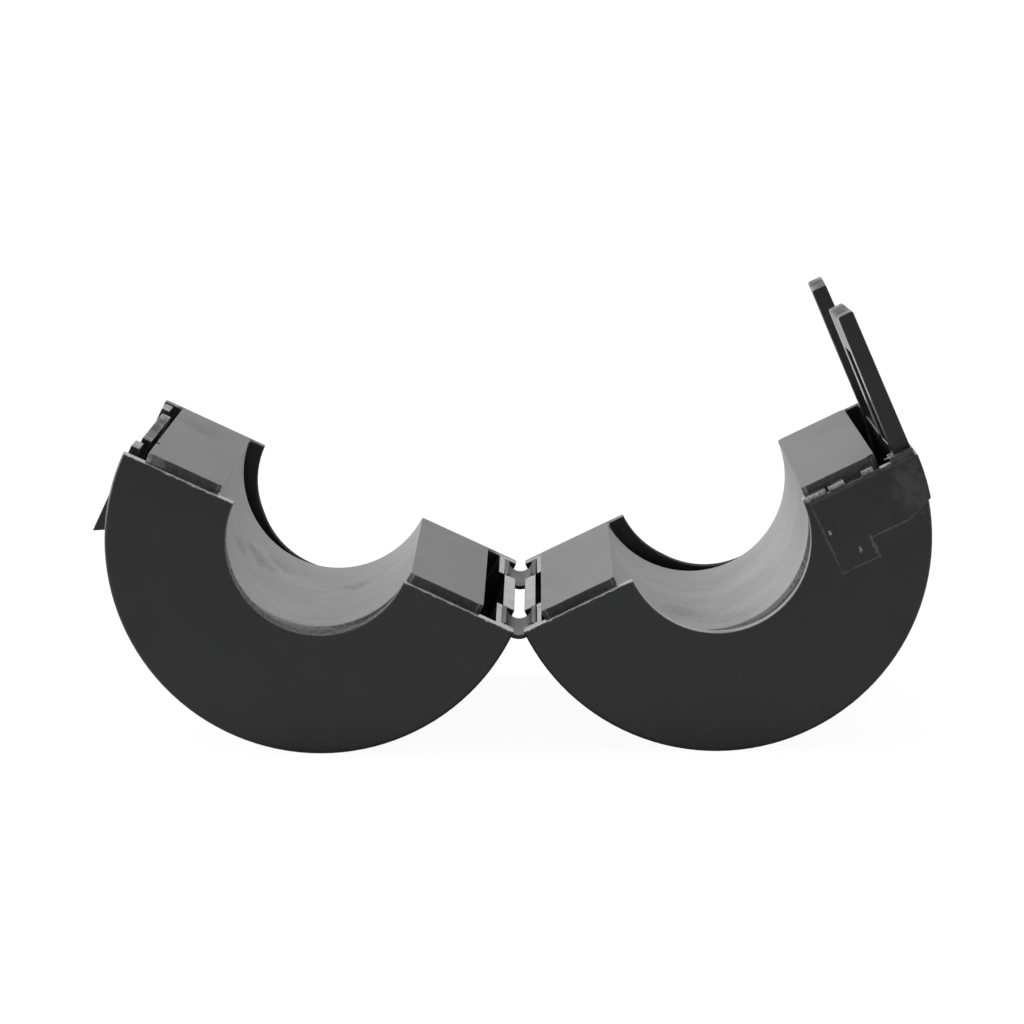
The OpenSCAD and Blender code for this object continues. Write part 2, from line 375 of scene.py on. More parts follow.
class Finish:
    """Common start of a material: its shader and its coordinates."""

    def __init__(self, name: str, effects: SharedEffects, place: HalfFrame) -> None:
        """Start the material.

        Args:
            name: The material's name.
            effects: The shared shader groups.
            place: The half whose own coordinates the material uses.
        """
        self.material = bpy.data.materials.new(name)
        self.material.use_nodes = True
        self.effects = effects
        self.bench = NodeBench(self.material.node_tree)
        self.shader = self.material.node_tree.nodes["Principled BSDF"]
        coords = self.bench.add("ShaderNodeTexCoord").outputs["Object"]
        mapping = self.bench.add("ShaderNodeMapping", Vector=coords)
        for name_of_value, value in place.mapping().items():
            self.bench.feed(mapping, name_of_value, value)
        self.coords = mapping.outputs[0]

    def set(self, **values: object) -> None:
        """Set inputs of the shader by name, with _ for a space."""
        for name, value in values.items():
            self.bench.feed(self.shader, name.replace("_", " "), value)

    def marks(self, marks: tuple[Mark, ...]) -> Socket:
        """Join soft patches into one mask.

        Args:
            marks: The patches.

        Returns:
            The mask's socket.
        """
        total = self.bench.math("MULTIPLY", 0.0)
        for mark in marks:
            patch = self.bench.group(
                self.effects.smudge, Vector=self.coords, Centre=tuple(MM * n for n in mark.centre),
                Reach=tuple(MM * n for n in mark.reach), Rag=mark.rag)
            scaled = self.bench.math("MULTIPLY", patch.outputs[0], mark.strength)
            total = self.bench.math("MAXIMUM", total, scaled)
        return total

    def bump(self, height: object, depth: float, strength: float = 0.5) -> None:
        """Roughen the surface by a height, to a depth in metres."""
        node = self.bench.add("ShaderNodeBump", Strength=strength, Distance=depth, Height=height)
        self.set(Normal=node.outputs[0])


@dataclass(frozen=True)
class CasePlastic:
    """Black moulded polyamide with a fine spark-eroded grain."""

    name: str = "case_plastic"
    dark: Colour = grey(0.007, -0.03)
    light: Colour = grey(0.0115, -0.03)
    # Pale colour of dust specks, and of the painted highlights that the pale marks lay on rims, lugs and edges.
    dust_and_highlight: Colour = grey(0.38)
    # Colour of rounded edges: rubbed plastic, and a painted highlight.
    rub_and_highlight: Colour = grey(0.05)
    roughness: float = 0.24
    coarse: float = 0.62
    polish: float = 0.13
    specular: float = 0.38
    grain_depth: float = 0.000012

    def make(self, effects: SharedEffects, place: HalfFrame, highlights_and_specks: tuple[Mark, ...] = (),
             rough: tuple[Mark, ...] = (), polished: tuple[Mark, ...] = ()) -> Material:
        """Build the material for one half.

        Args:
            effects: The shared shader groups.
            place: The half.
            highlights_and_specks: Pale patches, mostly painted highlights on lit rims, lug tops and edges, with a
                few specks.
            rough: Patches with a coarser face, such as a sheared tip.
            polished: Patches that the mould left smooth, such as a rim.

        Returns:
            The material.
        """
        finish = Finish(f"{self.name}_{place.half.prefix}", effects, place)
        bench = finish.bench
        grain = bench.group(effects.grain, Vector=finish.coords, Fine=7000.0, Slow=260.0)
        dust_and_highlight = bench.group(effects.specks, Vector=finish.coords, Scale=700.0, Size=0.09, Share=0.06)
        edge = bench.group(effects.rubbed_and_highlit_edge, Vector=finish.coords)
        broken = bench.ramp(bench.noise(finish.coords, 5200.0), 0.4, 0.62, 0.45, 1.0)
        # Pale marks with broken edges, mostly painted highlights on lit rims, lug tops, pad edges and the inner
        # latch wall.
        highlit_and_specked = bench.math("MULTIPLY", finish.marks(highlights_and_specks), broken)
        pale = bench.math("MAXIMUM", bench.math("MULTIPLY", dust_and_highlight.outputs[0], 0.18), highlit_and_specked)
        gloss = bench.ramp(grain.outputs["Drift"], 0.0, 1.0, self.roughness - 0.05, self.roughness + 0.05)
        coarse = bench.math("MULTIPLY", finish.marks(rough), self.coarse - self.roughness)
        smooth = finish.marks(polished)
        shine = bench.math("MULTIPLY", smooth, self.roughness - self.polish)
        colour = bench.blend(grain.outputs["Drift"], self.dark, self.light)
        # Rounded edges painted lighter, partly as a painted highlight.
        colour = bench.blend(edge.outputs[0], colour, self.rub_and_highlight)
        finish.set(
            Base_Color=bench.blend(pale, colour, self.dust_and_highlight),
            Roughness=bench.math("SUBTRACT", bench.math("ADD", gloss, coarse), shine),
            Specular_IOR_Level=self.specular,
        )
        flat = bench.ramp(smooth, 0.0, 1.0, 1.0, 0.5)
        finish.bump(bench.math("MULTIPLY", grain.outputs["Height"], flat), self.grain_depth)
        return finish.material


@dataclass(frozen=True)
class Ferrite:
    """Grey sintered ferrite, with one finish for each kind of surface."""

    face: FerriteFace
    base: Colour
    tint: Colour
    stain: Colour
    # Lighter colour for rounded edges and pale patches: rubbed ceramic, and painted light.
    rub_and_highlight: Colour
    roughness: float
    specular: float
    grain_depth: float
    speck_strength: float
    spread: Triple
    streak: float = 0.1
    pitted: bool = False

    def make(self, effects: SharedEffects, place: HalfFrame, stains: tuple[Mark, ...],
             pale: tuple[Mark, ...]) -> Material:
        """Build the material for one half.

        Args:
            effects: The shared shader groups.
            place: The half.
            stains: Dark patches.
            pale: Light patches, partly painted light.

        Returns:
            The material.
        """
        finish = Finish(f"{self.face.value}_{place.half.prefix}", effects, place)
        bench = finish.bench
        grain = bench.group(effects.grain, Vector=finish.coords, Fine=5200.0, Slow=180.0)
        lines = bench.group(effects.strokes, Vector=finish.coords, Spread=self.spread)
        specks = bench.group(effects.specks, Vector=finish.coords, Scale=1500.0, Size=0.2, Share=0.14)
        pits = bench.group(effects.specks, Vector=finish.coords, Scale=2400.0, Size=0.5, Share=0.6)
        edge = bench.group(effects.rubbed_and_highlit_edge, Vector=finish.coords)
        fine = bench.ramp(grain.outputs["Height"], 0.3, 0.7)
        mottle = bench.math("ADD", bench.math("MULTIPLY", grain.outputs["Drift"], 0.45),
                            bench.math("MULTIPLY", fine, 0.55 - self.streak))
        cloud = bench.math("ADD", mottle, bench.math("MULTIPLY", lines.outputs[0], self.streak))
        colour = bench.blend(cloud, self.base, self.tint)
        # Pale patches, partly painted light.
        colour = bench.blend(finish.marks(pale), colour, self.rub_and_highlight)
        # Rounded edges painted lighter, partly as a painted highlight.
        colour = bench.blend(edge.outputs[0], colour, self.rub_and_highlight)
        patchy = bench.ramp(bench.noise(finish.coords, 420.0), 0.42, 0.66, 0.15, 1.0)
        spots = bench.math("MULTIPLY", specks.outputs[0], self.speck_strength)
        stained = finish.marks(stains)
        if self.pitted:
            stained = bench.math("MULTIPLY", stained, bench.ramp(pits.outputs[0], 0.0, 1.0, 0.4, 1.0))
        dark = bench.math("MAXIMUM", bench.math("MULTIPLY", spots, patchy), stained)
        finish.set(
            Base_Color=bench.blend(dark, colour, self.stain),
            Roughness=bench.ramp(cloud, 0.2, 0.8, self.roughness - 0.05, self.roughness + 0.05),
            Specular_IOR_Level=self.specular,
        )
        scored = bench.math("MULTIPLY", lines.outputs[0], self.streak)
        finish.bump(bench.math("ADD", grain.outputs["Height"], scored), self.grain_depth)
        return finish.material


class Workbench:
    """Common moves with bpy.ops on one piece."""

    MERGE_GAP = 0.002 * MM
    FLAT_DEG = 0.4
    SHORTEST_EDGE = 1.2
    ROUND_ROOM = 2.8
    LEAST_ROUND = 0.25
    ROD_SIDES = 192

    @staticmethod
    def only(piece: Piece) -> None:
        """Select one piece alone and make it active."""
        bpy.ops.object.select_all(action="DESELECT")
        piece.select_set(True)
        bpy.context.view_layer.objects.active = piece

    @classmethod
    def apply(cls, piece: Piece, modifier: bpy.types.Modifier) -> None:
        """Apply a modifier to a piece."""
        cls.only(piece)
        bpy.ops.object.modifier_apply(modifier=modifier.name)

    @classmethod
    def copy_node(cls, node: str, name: str) -> Piece:
        """Copy a CAD node's mesh into a new piece, with its flat faces joined.

        Args:
            node: The CAD node.
            name: The new piece's name.

        Returns:
            The piece.
        """
        mesh = frame["nodes"][node].data.copy()
        mesh.materials.clear()
        piece = bpy.data.objects.new(name, mesh)
        bpy.context.scene.collection.objects.link(piece)
        cls.only(piece)
        bpy.ops.object.mode_set(mode="EDIT")
        bpy.ops.mesh.select_all(action="SELECT")
        bpy.ops.mesh.customdata_custom_splitnormals_clear()
        bpy.ops.mesh.remove_doubles(threshold=cls.MERGE_GAP)
        bpy.ops.mesh.dissolve_limited(angle_limit=math.radians(cls.FLAT_DEG))
        bpy.ops.object.mode_set(mode="OBJECT")
        return piece

    @classmethod
    def _weigh_edges(cls, mesh: bpy.types.Mesh, width: float, sharp_deg: float) -> None:
        """Give each sharp edge a bevel weight that suits the faces beside it.

        Args:
            mesh: The mesh.
            width: Full width of the round in metres.
            sharp_deg: Edges that turn by less than this get none.
        """
        shape = bmesh.new()
        shape.from_mesh(mesh)
        weight = shape.edges.layers.float.new("bevel_weight_edge")
        for edge in shape.edges:
            length = edge.calc_length()
            if len(edge.link_faces) != 2 or length < cls.SHORTEST_EDGE * width:
                continue
            if edge.calc_face_angle(0.0) < math.radians(sharp_deg):
                continue
            room = min(face.calc_area() for face in edge.link_faces) / length
            share = min(1.0, room / (cls.ROUND_ROOM * width))
            edge[weight] = share if share > cls.LEAST_ROUND else 0.0
        shape.to_mesh(mesh)
        shape.free()

    @classmethod
    def soften_edges(cls, piece: Piece, width: float, sharp_deg: float = 30.0) -> None:
        """Round the sharp edges of a piece and mark the rounds, which the finishes paint lighter, partly as a
        painted highlight.

        Args:
            piece: The piece.
            width: Width of the round in metres.
            sharp_deg: Edges that turn by more than this are rounded.
        """
        mesh = piece.data
        cls._weigh_edges(mesh, width, sharp_deg)
        mesh.materials.append(None)
        mesh.materials.append(None)
        bevel = piece.modifiers.new("edge_round", "BEVEL")
        bevel.limit_method = "WEIGHT"
        bevel.width = width
        bevel.segments = 2
        bevel.use_clamp_overlap = False
        bevel.material = 1
        cls.apply(piece, bevel)
        # The round faces get the mark that the finishes paint lighter, partly as a painted highlight.
        rub_and_highlight_mark = mesh.attributes.new(EDGE_MARK, "FLOAT", "FACE")
        rub_and_highlight_mark.data.foreach_set("value", [float(face.material_index) for face in mesh.polygons])
        mesh.polygons.foreach_set("material_index", [0] * len(mesh.polygons))
        mesh.materials.clear()

    @classmethod
    def smooth(cls, piece: Piece, angle_deg: float = 34.0) -> None:
        """Shade a piece smooth up to an angle, with its large flat faces kept flat."""
        cls.only(piece)
        bpy.ops.object.shade_smooth_by_angle(angle=math.radians(angle_deg))
        flat = piece.modifiers.new("flat_faces", "WEIGHTED_NORMAL")
        flat.weight = 100
        flat.keep_sharp = True
        cls.apply(piece, flat)

    @classmethod
    def clean(cls, piece: Piece, smallest: float = 0.001 * MM) -> None:
        """Take out edges and faces that are too small to see."""
        cls.only(piece)
        bpy.ops.object.mode_set(mode="EDIT")
        bpy.ops.mesh.select_all(action="SELECT")
        bpy.ops.mesh.dissolve_degenerate(threshold=smallest)
        bpy.ops.object.mode_set(mode="OBJECT")

    @classmethod
    def roughen(cls, piece: Piece, lump: float, length: float, direction: str) -> None:
        """Push a finely divided piece's surface into lumps.

        Args:
            piece: The piece.
            lump: How far a lump stands out or sinks in.
            length: How long a lump is.
            direction: The way the surface moves, as the modifier names it.
        """
        lumps = bpy.data.textures.new(f"{piece.name}_lumps", "CLOUDS")
        lumps.noise_scale = length
        lumps.noise_depth = 3
        ragged = piece.modifiers.new("ragged", "DISPLACE")
        ragged.texture = lumps
        ragged.texture_coords = "GLOBAL"
        ragged.direction = direction
        ragged.mid_level = 0.5
        ragged.strength = 2.0 * lump
        cls.apply(piece, ragged)

    @classmethod
    def cut_chip(cls, piece: Piece, place: HalfFrame, chip: Chip) -> None:
        """Break a small chip out of a piece.

        Args:
            piece: The piece.
            place: The half that the chip's place is given in.
            chip: The chip.
        """
        bpy.ops.object.select_all(action="DESELECT")
        bpy.ops.mesh.primitive_ico_sphere_add(subdivisions=2, radius=MM, location=place.place(chip.centre))
        tool = bpy.context.active_object
        tool.scale = chip.size
        tool.rotation_euler = (math.radians(chip.turn_deg), -place.side * place.tilt, 0.0)
        bpy.ops.object.transform_apply(location=True, rotation=True, scale=True)
        cls._subtract(piece, tool)

    @classmethod
    def cut_block(cls, piece: Piece, place: HalfFrame, block: Block) -> None:
        """Cut a box out of a piece.

        Args:
            piece: The piece.
            place: The half that the box is given in.
            block: The box.
        """
        bpy.ops.object.select_all(action="DESELECT")
        bpy.ops.mesh.primitive_cube_add(size=MM, location=place.place(block.centre))
        tool = bpy.context.active_object
        tool.scale = block.size
        tool.rotation_euler = (0.0, -place.side * place.tilt, 0.0)
        bpy.ops.object.transform_apply(location=True, rotation=True, scale=True)
        cls._subtract(piece, tool)

    @classmethod
    def cut_rod(cls, piece: Piece, centre: Vector, radius: float, length: float) -> None:
        """Cut a round hole along the cable.

        Args:
            piece: The piece.
            centre: The middle of the hole.
            radius: The hole's radius.
            length: How long the hole is.
        """
        bpy.ops.object.select_all(action="DESELECT")
        bpy.ops.mesh.primitive_cylinder_add(
            vertices=cls.ROD_SIDES, radius=radius, depth=length, location=centre,
            rotation=(math.pi / 2, 0.0, 0.0))
        tool = bpy.context.active_object
        bpy.ops.object.transform_apply(location=True, rotation=True, scale=True)
        cls._subtract(piece, tool)

    @classmethod
    def _subtract(cls, piece: Piece, tool: Piece) -> None:
        """Take a tool's shape out of a piece and throw the tool away."""
        cut = piece.modifiers.new("cut", "BOOLEAN")
        cut.operation = "DIFFERENCE"
        cut.solver = "EXACT"
        cut.object = tool
        cls.apply(piece, cut)
        bpy.data.objects.remove(tool)


def attach(piece: Piece, half: Half, node: str = "") -> None:
    """Let a piece move with its half and, where one is named, stand for a CAD node.

    Args:
        piece: The piece.
        half: The half that it moves with.
        node: The CAD node that it stands for.
    """
    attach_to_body(piece, half.value)
    if node:
        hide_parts(node)


@dataclass
class Shell:
    """One moulded half of the case."""

    place: HalfFrame
    opening: Triple
    opening_radius: float = 6.6 * MM
    opening_length: float = 2.0 * MM
    edge_round: float = 0.07 * MM
    relief: Block = Block((-14.1, -7.4, -4.0), (-13.2, 7.4, 1.0))
    lip_reach: float = 7.2 * MM
    lip_start: float = 15.7 * MM
    lip_facing: float = 0.5

    def build(self, plastic: Material, front_lip: Material,
              back_lip: Material) -> list[Piece]:
        """Dress the shell, thin its hinge wall between the straps and widen its back opening.

        Args:
            plastic: The half's plastic.
            front_lip: The finish of the front cable opening's inner face.
            back_lip: The finish of the back cable opening's inner face.

        Returns:
            The piece, in a list.
        """
        node = f"{self.place.half.prefix}_shell"
        piece = Workbench.copy_node(node, f"{self.place.half.prefix}_case")
        Workbench.soften_edges(piece, self.edge_round)
        Workbench.cut_block(piece, self.place, self.relief)
        Workbench.cut_rod(piece, self.place.place(self.opening), self.opening_radius, self.opening_length)
        Workbench.clean(piece)
        Workbench.smooth(piece)
        piece.data.materials.clear()
        for finish in (plastic, front_lip, back_lip):
            piece.data.materials.append(finish)
        for polygon in piece.data.polygons:
            lip_number = 1 if polygon.center.y < 0.0 else 2
            polygon.material_index = lip_number if self._is_lip(polygon) else 0
        attach(piece, self.place.half, node=node)
        return [piece]

    def _is_lip(self, polygon: Polygon) -> bool:
        """Tell whether a face lines a cable opening."""
        inward = self.place.axis - polygon.center
        inward.y = 0.0
        near = abs(polygon.center.y) > self.lip_start and inward.length < self.lip_reach
        return near and polygon.normal.dot(inward.normalized()) > self.lip_facing


@dataclass
class Core:
    """One loose half ring of ferrite, with a few chips in its edges."""

    place: HalfFrame
    chips: tuple[Chip, ...] = ()
    edge_round: float = 0.06 * MM
    bore_reach: float = 9.0 * MM
    bore_slant: float = 0.3
    ground_facing: float = 0.9

    def build(self, finishes: dict[FerriteFace, Material]) -> list[Piece]:
        """Dress the core, with its own finish on each kind of face.

        Args:
            finishes: The ferrite's materials.

        Returns:
            The piece, in a list.
        """
        node = f"{self.place.half.prefix}_core"
        piece = Workbench.copy_node(node, f"{self.place.half.prefix}_ferrite")
        Workbench.soften_edges(piece, self.edge_round)
        for chip in self.chips:
            Workbench.cut_chip(piece, self.place, chip)
        Workbench.smooth(piece)
        order = list(FerriteFace)
        piece.data.materials.clear()
        for face in order:
            piece.data.materials.append(finishes[face])
        for polygon in piece.data.polygons:
            polygon.material_index = order.index(self._kind(polygon))
        attach(piece, self.place.half, node)
        return [piece]

    def _kind(self, polygon: Polygon) -> FerriteFace:
        """Tell which kind of surface a face is.

        Args:
            polygon: The face.

        Returns:
            The kind.
        """
        up = self.place.up()
        above = (polygon.center - self.place.axis).dot(up) > 0.0
        if above and polygon.normal.dot(up) > self.ground_facing:
            return FerriteFace.GROUND
        inward = self.place.axis - polygon.center
        inward.y = 0.0
        if abs(polygon.normal.y) < self.bore_slant and inward.length < self.bore_reach:
            return FerriteFace.BORE
        return FerriteFace.FIRED


@dataclass
class LatchArms:
    """The two windowed spring arms of the right half."""

    place: HalfFrame
    edge_round: float = 0.07 * MM
    nodes: tuple[str, str] = ("latch_arm_front", "latch_arm_back")

    def build(self, plastic: Material) -> list[Piece]:
        """Dress both arms.

        Args:
            plastic: The half's plastic.

        Returns:
            The pieces.
        """
        pieces = []
        for node in self.nodes:
            piece = Workbench.copy_node(node, node.replace("latch_arm", "spring_arm"))
            Workbench.soften_edges(piece, self.edge_round)
            Workbench.smooth(piece)
            piece.data.materials.append(plastic)
            attach(piece, self.place.half, node=node)
            pieces.append(piece)
        return pieces


@dataclass(frozen=True)
class RimFlash:
    """A ragged skin of flash that the mould left on a rim, mostly sunk in it."""

    name: str
    low: Triple
    high: Triple
    thickness: float = 0.04 * MM
    lump: float = 0.11 * MM
    lump_length: float = 0.9 * MM
    pitch: float = 0.12

    def build(self, place: HalfFrame, plastic: Material) -> list[Piece]:
        """Model the flash as a lumpy thin sheet.

        Args:
            place: The half that it lies on.
            plastic: The half's plastic.

        Returns:
            The piece, in a list.
        """
        block = Block(self.low, self.high)
        length, width = block.size[:2]
        bpy.ops.object.select_all(action="DESELECT")
        bpy.ops.mesh.primitive_grid_add(
            x_subdivisions=round(length / self.pitch), y_subdivisions=max(2, round(width / self.pitch)),
            size=MM, location=place.place(block.centre))
        piece = bpy.context.active_object
        piece.name = self.name
        piece.scale = (length, width, 1.0)
        piece.rotation_euler = (0.0, -place.side * place.tilt, 0.0)
        bpy.ops.object.transform_apply(location=True, rotation=True, scale=True)
        solid = piece.modifiers.new("skin", "SOLIDIFY")
        solid.thickness = self.thickness
        Workbench.apply(piece, solid)
        Workbench.roughen(piece, self.lump, self.lump_length, "Z")
        # Every face of the flash takes the lighter edge colour, a painted highlight along the rim edge.
        rub_and_highlight_mark = piece.data.attributes.new(EDGE_MARK, "FLOAT", "FACE")
        rub_and_highlight_mark.data.foreach_set("value", [1.0] * len(piece.data.polygons))
        Workbench.smooth(piece)
        piece.data.materials.append(plastic)
        attach(piece, place.half)
        return [piece]


@dataclass(frozen=True)
class LipCollar:
    """The ragged inner edge of a cable opening, which reaches in towards the core."""

    name: str = "left_lip_collar"
    radius: float = 6.62 * MM
    thickness: float = 0.5 * MM
    front: float = -15.85
    back: float = -14.62
    top: float = -1.5
    lump: float = 0.07 * MM
    lump_length: float = 0.5 * MM
    segments: int = 240
    rings: int = 8

    def build(self, place: HalfFrame, plastic: Material) -> list[Piece]:
        """Model the collar as a lumpy strip bent round the opening.

        Args:
            place: The half that it lies on.
            plastic: The opening's finish.

        Returns:
            The piece, in a list.
        """
        bpy.ops.object.select_all(action="DESELECT")
        bpy.ops.mesh.primitive_cylinder_add(
            vertices=self.segments, radius=self.radius, depth=MM * (self.back - self.front),
            end_fill_type="NOTHING", rotation=(math.pi / 2, 0.0, 0.0),
            location=place.place((0.0, (self.front + self.back) / 2, 0.0)))
        piece = bpy.context.active_object
        piece.name = self.name
        bpy.ops.object.transform_apply(location=True, rotation=True, scale=True)
        bpy.ops.object.mode_set(mode="EDIT")
        bpy.ops.mesh.select_all(action="SELECT")
        bpy.ops.mesh.bisect(
            plane_co=place.place((0.0, 0.0, self.top)), plane_no=place.up(), clear_outer=True)
        bpy.ops.mesh.select_all(action="SELECT")
        bpy.ops.mesh.subdivide(number_cuts=self.rings)
        bpy.ops.object.mode_set(mode="OBJECT")
        solid = piece.modifiers.new("strip", "SOLIDIFY")
        solid.thickness = self.thickness
        solid.offset = 1.0
        Workbench.apply(piece, solid)
        Workbench.roughen(piece, self.lump, self.lump_length, "NORMAL")
        Workbench.smooth(piece)
        piece.data.materials.append(plastic)
        attach(piece, place.half)
        return [piece]


@dataclass
class HingeStraps:
    """The two thin straps that bend as the case folds."""

    pivot: Vector
    inner: float = 0.9 * MM
    thickness: float = 0.3 * MM
    edge_round: float = 0.05 * MM
    steps: int = 32
    nodes: tuple[str, str] = ("hinge_strap_front", "hinge_strap_back")

    def build(self, plastic: Material) -> list[Piece]:
        """Sweep each strap in a half turn round the hinge axis, between the halves.

        Args:
            plastic: The case's plastic.

        Returns:
            The pieces.
        """
        pieces = []
        for node in self.nodes:
            low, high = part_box(node)
            piece = self._sweep(node.replace("hinge_strap", "bending_strap"), low[1], high[1])
            piece.data.materials.append(plastic)
            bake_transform(piece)
            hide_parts(node)
            pieces.append(piece)
        return pieces

    def _sweep(self, name: str, front: float, back: float) -> Piece:
        """Model one strap.

        Args:
            name: The piece's name.
            front: Where the strap starts along the cable.
            back: Where it ends.

        Returns:
            The piece.
        """
        bpy.ops.object.select_all(action="DESELECT")
        start = (self.pivot.x - self.inner - self.thickness / 2, (front + back) / 2, self.pivot.z)
        bpy.ops.mesh.primitive_plane_add(size=1.0, location=start)
        piece = bpy.context.active_object
        piece.name = name
        piece.scale = (self.thickness, back - front, 1.0)
        bpy.ops.object.transform_apply(location=True, rotation=True, scale=True)
        bpy.ops.object.mode_set(mode="EDIT")
        bpy.ops.mesh.select_all(action="SELECT")
        bpy.ops.mesh.spin(steps=self.steps, angle=math.pi, center=self.pivot, axis=(0.0, 1.0, 0.0))
        bpy.ops.mesh.select_all(action="SELECT")
        bpy.ops.mesh.remove_doubles(threshold=1e-6)
        bpy.ops.mesh.normals_make_consistent(inside=False)
        bpy.ops.object.mode_set(mode="OBJECT")
        Workbench.soften_edges(piece, self.edge_round)
        Workbench.smooth(piece)
        return piece


@dataclass(frozen=True)
class PhotoCamera:
    """The photograph's viewpoint, found from the round openings in it."""

    location: Triple = (0.0022518, -0.2989874, 0.0558727)
    pitch_deg: float = 7.83
    yaw_deg: float = -0.4207
    roll_deg: float = -0.4216
    lens: float = 143.63
    sensor: float = 36.0
    nearest: float = 0.01

    def build(self) -> None:
        """Make the camera and use it."""
        pitch, yaw, roll = (math.radians(a) for a in (self.pitch_deg, self.yaw_deg, self.roll_deg))
        ahead = Vector((math.sin(yaw) * math.cos(pitch), math.cos(yaw) * math.cos(pitch), -math.sin(pitch)))
        level = Vector((math.cos(yaw), -math.sin(yaw), 0.0))
        above = level.cross(ahead)
        right = level * math.cos(roll) + above * math.sin(roll)
        top = above * math.cos(roll) - level * math.sin(roll)
        data = bpy.data.cameras.new("photo_camera")
        data.lens = self.lens
        data.sensor_width = self.sensor
        data.clip_start = self.nearest
        camera = bpy.data.objects.new("photo_camera", data)
        turn = Matrix((right, top, -ahead)).transposed().to_4x4()
        camera.matrix_world = Matrix.Translation(self.location) @ turn
        bpy.context.scene.collection.objects.link(camera)
        bpy.context.scene.camera = camera


@dataclass(frozen=True)
class SoftBox:
    """One large soft lamp."""

    name: str
    location: Triple
    size: tuple[float, float]
    brightness: float

    def build(self, target: Vector) -> None:
        """Hang the lamp and turn it to the target.

        Args:
            target: The point that the lamp faces.
        """
        data = bpy.data.lights.new(self.name, "AREA")
        data.shape = "RECTANGLE"
        data.size, data.size_y = self.size
        data.energy = self.brightness * math.pi * self.size[0] * self.size[1]
        lamp = bpy.data.objects.new(self.name, data)
        lamp.location = self.location
        lamp.rotation_euler = (target - Vector(self.location)).to_track_quat("-Z", "Y").to_euler()
        lamp.visible_camera = False
        bpy.context.scene.collection.objects.link(lamp)


@dataclass
class Studio:
    """White floor, white surroundings and soft lamps."""

    ambient: float = 0.55
    room: float = 0.7
    backdrop: float = 1.06
    floor_clear: float = 0.9
    floor_size: float = 6.0
    target: Triple = (0.0, 0.0, 0.012)
    lamps: tuple[SoftBox, ...] = (
        SoftBox("top_softbox", (0.0, 0.10, 0.36), (0.36, 0.36), 1.0),
        SoftBox("left_softbox", (-0.36, 0.04, 0.14), (0.28, 0.28), 4.0),
        SoftBox("back_softbox", (-0.24, 0.38, 0.13), (0.3, 0.3), 1.0),
        SoftBox("right_softbox", (0.36, 0.04, 0.22), (0.24, 0.24), 0.9),
    )

    def build(self) -> None:
        """Set the stage."""
        bpy.context.scene.view_settings.view_transform = "Standard"
        self._surroundings()
        self._floor()
        for lamp in self.lamps:
            lamp.build(Vector(self.target))

    def _surroundings(self) -> None:
        """Make white surroundings, dimmer behind the camera, that light the part softly."""
        world = bpy.data.worlds.new("white_studio")
        world.use_nodes = True
        bpy.context.scene.world = world
        bench = NodeBench(world.node_tree)
        rays = bench.add("ShaderNodeLightPath").outputs
        direct = bench.math("MAXIMUM", rays["Is Camera Ray"], rays["Is Transmission Ray"])
        coords = bench.add("ShaderNodeTexCoord").outputs["Generated"]
        facing = bench.add("ShaderNodeSeparateXYZ", Vector=coords)
        gloss = bench.ramp(facing.outputs["Y"], -0.8, 0.0, self.room, 1.0)
        level = bench.blend(rays["Is Glossy Ray"], grey(self.ambient), gloss)
        level = bench.blend(direct, level, grey(self.backdrop))
        background = world.node_tree.nodes["Background"]
        bench.feed(background, "Color", level)
        bench.feed(background, "Strength", 1.0)

    def _floor(self) -> None:
        """Lay a pale floor that keeps a soft shadow and lets a half that swings below it show."""
        bpy.ops.object.select_all(action="DESELECT")
        bpy.ops.mesh.primitive_plane_add(size=self.floor_size, location=(0.0, 0.0, 0.0))
        floor = bpy.context.active_object
        floor.name = "floor"
        material = bpy.data.materials.new("pale_floor")
        material.use_nodes = True
        bench = NodeBench(material.node_tree)
        shader = material.node_tree.nodes["Principled BSDF"]
        coords = bench.add("ShaderNodeTexCoord").outputs["Object"]
        bench.feed(shader, "Base Color", bench.blend(bench.noise(coords, 3.0), grey(0.88), grey(0.9)))
        bench.feed(shader, "Roughness", 0.9)
        bench.feed(shader, "Specular IOR Level", 0.1)
        clear = bench.add("ShaderNodeBsdfTransparent", Color=grey(1.0))
        rays = bench.add("ShaderNodeLightPath").outputs
        seen = bench.math("MAXIMUM", rays["Is Camera Ray"], rays["Is Transmission Ray"])
        mix = bench.add("ShaderNodeMixShader")
        bench.feed(mix, 0, bench.math("MULTIPLY", seen, self.floor_clear))
        bench.feed(mix, 1, shader.outputs[0])
        bench.feed(mix, 2, clear.outputs[0])
        bench.feed(material.node_tree.nodes["Material Output"], "Surface", mix.outputs[0])
        floor.data.materials.append(material)


